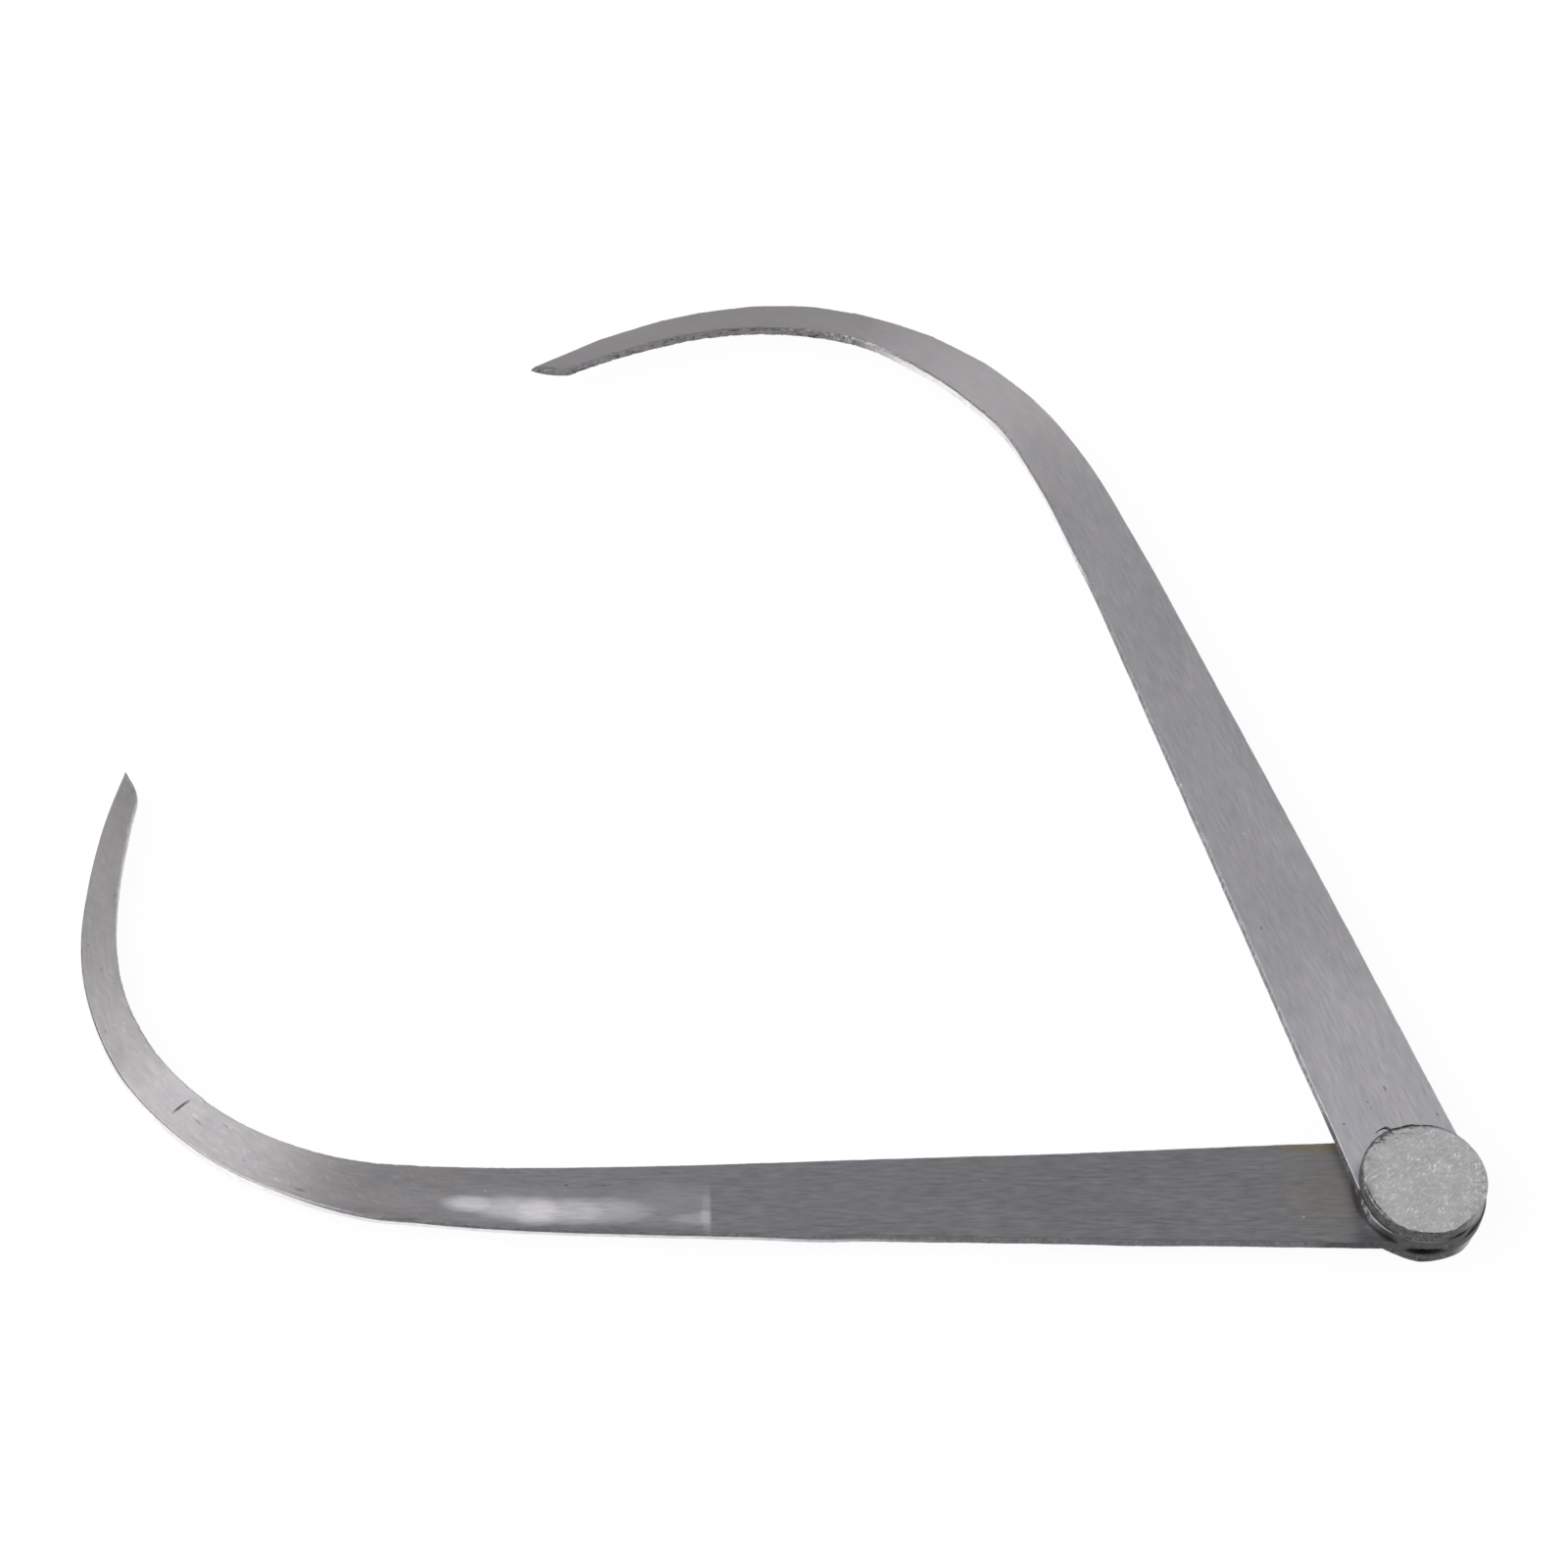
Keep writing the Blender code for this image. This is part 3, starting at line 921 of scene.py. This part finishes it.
def cut_hole(leg):
    bpy.ops.mesh.primitive_cylinder_add(
        vertices=HOLE_STEPS,
        radius=SHANK_RADIUS + CLEARANCE,
        depth=4 * JOINT_HIGH,
    )
    tool = bpy.context.object
    hole = leg.modifiers.new("pivot_hole", "BOOLEAN")
    hole.operation = "DIFFERENCE"
    hole.solver = "EXACT"
    hole.object = tool
    graph = bpy.context.evaluated_depsgraph_get()
    leg.data = bpy.data.meshes.new_from_object(leg.evaluated_get(graph))
    leg.modifiers.clear()
    bpy.data.objects.remove(tool)


def make_leg(name, seed, plan, turned_over, low, high, turn):
    """A dressed leg in its place: plate with worn edges, rough walls, ground tip and pivot hole."""
    travels = stations(plan)
    half = (high - low) / 2
    sections = [LegSection(travel, seed, half, plan, turned_over) for travel in travels]
    rows = np.array([section.build() for section in sections])
    flip = -1 if turned_over else 1
    x = rows[:, :, 0]
    y = rows[:, :, 1] * flip
    place = np.stack(
        [
            x * cos(turn) - y * sin(turn),
            x * sin(turn) + y * cos(turn),
            rows[:, :, 2] * flip + (low + high) / 2,
        ],
        axis=-1,
    )
    leg = lofted(name, place.tolist())
    count = rows.shape[1]
    travel_values = np.repeat(travels, count)
    across_values = rows[:, :, 3].ravel()
    carry(leg, "travel", travel_values)
    carry(leg, "across", across_values)
    carry(leg, "wall", rows[:, :, 4].ravel())
    carry(leg, "ground", rows[:, :, 5].ravel())
    grain = leg.data.uv_layers.new(name="grain")
    corner = np.empty(len(leg.data.loops), np.int32)
    leg.data.loops.foreach_get("vertex_index", corner)
    uv = np.stack([travel_values[corner], across_values[corner]], axis=1)
    grain.data.foreach_set("uv", uv.ravel().astype(np.float32))
    clean(leg)
    cut_hole(leg)
    return leg


def turned(name, profile, closed):
    """A piece turned about Z. profile(azimuth) gives (radius, height, wall, dirt and shade) points.

    An open profile starts and ends on the axis.
    """
    rings = []
    walls = []
    dirt_and_shade_values = []
    for i in range(TURNED_STEPS):
        azimuth = 2 * pi * i / TURNED_STEPS
        column = profile(azimuth)
        rings.append([(radius * cos(azimuth), radius * sin(azimuth), height) for radius, height, *_ in column])
        walls += [point[2] for point in column]
        dirt_and_shade_values += [point[3] for point in column]
    count = len(rings[0])
    faces = []
    for i in range(TURNED_STEPS):
        k = (i + 1) % TURNED_STEPS
        for j in range(count if closed else count - 1):
            m = (j + 1) % count
            faces.append((i * count + j, i * count + m, k * count + m, k * count + j))
    mesh = bpy.data.meshes.new(name)
    mesh.from_pydata([point for ring in rings for point in ring], [], faces)
    mesh.shade_smooth()
    piece = bpy.data.objects.new(name, mesh)
    bpy.context.scene.collection.objects.link(piece)
    carry(piece, "wall", walls)
    carry(piece, "dirt_and_shade", dirt_and_shade_values)
    clean(piece)
    return piece


def hammered(x, y):
    """The relief of a hammered face: shallow dents, a slanting grain and a few pits, all downwards."""
    u = 0.82 * x + 0.57 * y
    v = 0.82 * y - 0.57 * x
    dents = rough(3, u, v, 300, 620, 2)
    grain = rough(8, u, v, 650, 2100, 2)
    pits = max(rough(13, x, y, 600, 600, 1) - 0.28, 0)
    more_pits = smooth(x, 8 * MM, 12 * MM) * max(rough(14, x, y, 900, 900, 2) - 0.1, 0)
    return min(0.15 * dents + 0.11 * grain - 0.3 * pits - 0.35 * more_pits - 0.09, 0) * MM


def wall_dent(seed, azimuth, height):
    """The relief of the rivet's and the washer's side walls."""
    dent = rough(seed, azimuth * JOINT_RADIUS, height, 160, 700, 3)
    return min(0.07 * dent, 0.03) * MM


def head_profile(azimuth):
    """The rivet: hammered top, rolled-over rim, side wall, shank, and the tail spread in the washer."""
    c, s = cos(azimuth), sin(azimuth)
    rim = 0.3 + 0.85 * near(azimuth, 205, 50) + 0.35 * near(azimuth, 95, 60)
    rim += 0.45 * near(azimuth, 20, 50)
    rim += 0.4 * near(azimuth, 318, 50) * max(rough(73, c, s, 16, 16, 2), 0)
    rim = (rim + 0.25 * rough(17, c, s, 2.4, 2.4, 3)) * MM
    rim = max(rim, 0.15 * MM)
    proud = 0.57 * min(1.6 * near(azimuth, 264, 60), 1)
    outer = JOINT_RADIUS + (proud - 0.05 + 0.1 * rough(19, c, s, 2.3, 2.3, 3) * (1 - proud)) * MM
    # Darker rim and wall at the back and on the left of the head; on the left this is in part painted contact
    # shadow on the wall
    rim_darkening = min(0.95 * near(azimuth, 98, 66) + 0.7 * near(azimuth, 160, 50), 1)
    rim_darkening *= 1 + 0.8 * min(rough(61, c, s, 6, 6, 3), 0)
    crease = near(azimuth, 198, 66) * (0.45 + 0.9 * rough(67, c, s, 9, 9, 2))
    second = near(azimuth, 210, 50) * (0.8 + 1.2 * rough(71, c, s, 12, 12, 2))
    column = []
    for i in range(TOP_RINGS + 1):
        radius = (outer - rim) * i / TOP_RINGS
        dirt_shade = rim_darkening * smooth(radius, outer - rim - 0.45 * MM, outer - rim)
        speck = 1.9 * max(rough(77, radius * c, radius * s, 450, 1000, 4) - 0.02, 0)
        speck *= max(near(azimuth, 130, 75), 0.35 * near(azimuth, 345, 70))
        speck *= smooth(radius, outer - rim - 3.0 * MM, outer - rim)
        dull = 0.3 * near(azimuth, 192, 34) * smooth(radius, outer - rim - 1.0 * MM, outer - rim)
        dirt_shade = min(max(dirt_shade, speck, dull), 1)
        column.append((radius, JOINT_HIGH + hammered(radius * c, radius * s), 0, dirt_shade))
    for turn in np.linspace(0, pi / 2, RIM_ROWS)[1:].tolist():
        radius = outer - rim * (1 - sin(turn))
        height = JOINT_HIGH - rim * (1 - cos(turn)) + hammered(radius * c, radius * s)
        dirt_shade = max(rim_darkening, crease * near(turn, 24, 18), second * near(turn, 72, 16), 0)
        column.append((radius, height, sin(turn), min(dirt_shade, 1)))
    low_break = (0.02 + 0.42 * near(azimuth, 297, 18) + 0.1 * near(azimuth, 190, 45)) * MM
    start = column[-1][1]
    foot = HEAD_LOW + low_break
    for share in np.linspace(0, 1, WALL_ROWS)[1:].tolist():
        height = start + (foot - start) * share
        # Painted shade: the wall darkens towards its foot in the slot on the right, and as a contact shadow on
        # the left
        dirt_shade = max(rim_darkening, 0.7 * near(azimuth, 296, 22) * smooth(share, 0.5, 1))
        dirt_shade = max(dirt_shade, min(1.3 * near(azimuth, 206, 50), 0.9) * smooth(share, 0.55, 0.9))
        column.append((outer + wall_dent(23, azimuth, height), height, 1, dirt_shade))
    # Painted shade: the underside and the shank, against the leg, black
    column.append((outer - low_break, HEAD_LOW, 1, 1))
    column.append((SHANK_RADIUS, HEAD_LOW, 1, 1))
    column.append((SHANK_RADIUS, TAIL_DEPTH, 1, 1))
    ragged = (0.15 * rough(29, c, s, 2.6, 2.6, 3) - 0.05) * MM
    column.append((TAIL_RADIUS + ragged, 0.12 * MM, 1, 0.6))
    for share in np.linspace(1, 0, 18).tolist():
        radius = (TAIL_RADIUS + ragged - 0.15 * MM) * share
        dent = -0.8 * hammered(radius * c + 20 * MM, radius * s)
        column.append((radius, dent, 0, 0))
    return column


def washer_profile(azimuth):
    """The base washer: flat top, rough wall, worn lower rim, hammered underside and countersunk bore."""
    c, s = cos(azimuth), sin(azimuth)
    rim = (0.5 + 0.2 * rough(37, c, s, 3.3, 3.3, 2)) * MM
    outer = JOINT_RADIUS + (0.1 * rough(41, c, s, 2.3, 2.3, 3) - 0.05) * MM
    outer += (0.3 * near(azimuth, 306, 26) - 0.35 * near(azimuth, 240, 26)) * MM
    bore = SHANK_RADIUS + CLEARANCE
    high_break = 0.12 * MM
    # Painted shadow: the washer's rim and top edge black in the slot under the upper leg, and its top, under
    # the lower leg, black too
    slot_shade = near(azimuth, 263, 44)
    column = [(bore, WASHER_TOP, 1, 1), (0.8 * outer, WASHER_TOP, 1, 1)]
    column.append((outer - high_break, WASHER_TOP, 1, slot_shade))
    for share in np.linspace(0, 1, WALL_ROWS).tolist():
        height = WASHER_TOP - high_break + (rim - WASHER_TOP + high_break) * share
        dirt_shade = slot_shade * (1 - smooth(share, 0.0, 0.35))
        column.append((outer + wall_dent(43, azimuth, height), height, 1, dirt_shade))
    for turn in np.linspace(pi / 2, 0, RIM_ROWS)[1:].tolist():
        column.append((outer - rim * (1 - sin(turn)), rim * (1 - cos(turn)), sin(turn), 0))
    countersink = TAIL_RADIUS + 0.45 * MM
    for share in np.linspace(0, 1, 28)[1:].tolist():
        radius = outer - rim + (countersink - outer + rim) * share
        column.append((radius, -0.6 * hammered(radius * c, radius * s + 30 * MM), 0, 0))
    column.append((bore, TAIL_DEPTH + CLEARANCE, 1, 1))
    return column


# The sliver that hangs out of the head's rim: azimuth in degrees, radius and height in mm
BURR_PATH = (
    (114.6, 12.4, 11.8),
    (115.4, 13.7, 11.6),
    (116.8, 14.5, 11.25),
    (121.0, 14.9, 10.8),
    (125.5, 15.0, 10.3),
)
BURR_HALF_WIDTH = 0.6 * MM
BURR_HALF_THICKNESS = 0.16 * MM


def burr_point(share):
    """A point on a smooth curve through the sliver's path."""
    spots = []
    for azimuth, radius, height in BURR_PATH:
        angle = radians(azimuth)
        spots.append(Vector((radius * cos(angle), radius * sin(angle), height)) * MM)
    place = share * (len(spots) - 1)
    i = min(int(place), len(spots) - 2)
    t = place - i
    before = spots[max(i - 1, 0)]
    after = spots[min(i + 2, len(spots) - 1)]
    leave = (spots[i + 1] - before) / 2
    arrive = (after - spots[i]) / 2
    return (
        spots[i] * (1 - 3 * t**2 + 2 * t**3)
        + spots[i + 1] * (3 * t**2 - 2 * t**3)
        + leave * (t - 2 * t**2 + t**3)
        + arrive * (t**3 - t**2)
    )


def make_burr():
    rings = []
    for i in range(BURR_RINGS):
        share = i / (BURR_RINGS - 1)
        centre = burr_point(share)
        ahead = burr_point(min(share + 0.02, 1)) - burr_point(max(share - 0.02, 0))
        side = ahead.cross(Vector((0, 0, 1))).normalized()
        up = side.cross(ahead).normalized()
        taper = (1 - share) ** 0.7
        jag = 1 + 0.7 * rough(51, share, 0, 9, 0)
        ring = []
        for j in range(BURR_SIDES):
            angle = 2 * pi * j / BURR_SIDES
            wide = (BURR_HALF_WIDTH * taper * jag + 0.05 * MM) * sin(angle)
            thick = (BURR_HALF_THICKNESS * taper + 0.03 * MM) * cos(angle)
            ring.append(centre + up * wide + side * thick)
        rings.append(ring)
    burr = lofted("rivet_burr", rings)
    carry(burr, "wall", [1] * len(burr.data.vertices))
    # Painted shade: the burr darkened for its shaded side
    carry(burr, "dirt_and_shade", [0.35] * len(burr.data.vertices))
    clean(burr)
    return burr


def dress(piece, steel, body, node=None):
    """Gives a piece its finish and its body, and hides the solid that it takes the place of."""
    piece.data.materials.clear()
    piece.data.materials.append(steel)
    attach(piece, body)
    if node:
        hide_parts(node)


def main():
    make_camera()
    make_world()
    make_softbox()
    make_floor()

    upper_steel = material("upper_leg_steel", leg_finish(UPPER_LEG))
    lower_steel = material("lower_leg_steel", leg_finish(LOWER_LEG))
    joint_steel = material("joint_steel", joint_finish)

    upper_low = UPPER_LEG_LOW - LEG_GROWTH
    lower_high = LOWER_LEG_HIGH + LEG_GROWTH
    upper_turn = pi - OPENING
    upper = make_leg("upper_leg_dressed", 3.0, UPPER_PLAN, False, upper_low, UPPER_LEG_HIGH, upper_turn)
    lower = make_leg("lower_leg_dressed", 71.0, LOWER_PLAN, True, LOWER_LEG_LOW, lower_high, pi)
    rivet = turned("rivet_dressed", head_profile, False)
    washer = turned("base_washer_dressed", washer_profile, True)

    dress(upper, upper_steel, "moving_leg", "upper_leg")
    dress(lower, lower_steel, "fixed_leg", "lower_leg")
    dress(rivet, joint_steel, "fixed_leg", "rivet")
    dress(washer, joint_steel, "fixed_leg", "base_washer")
    dress(make_burr(), joint_steel, "fixed_leg")


main()
bpy.context.scene.view_settings.view_transform = "Standard"
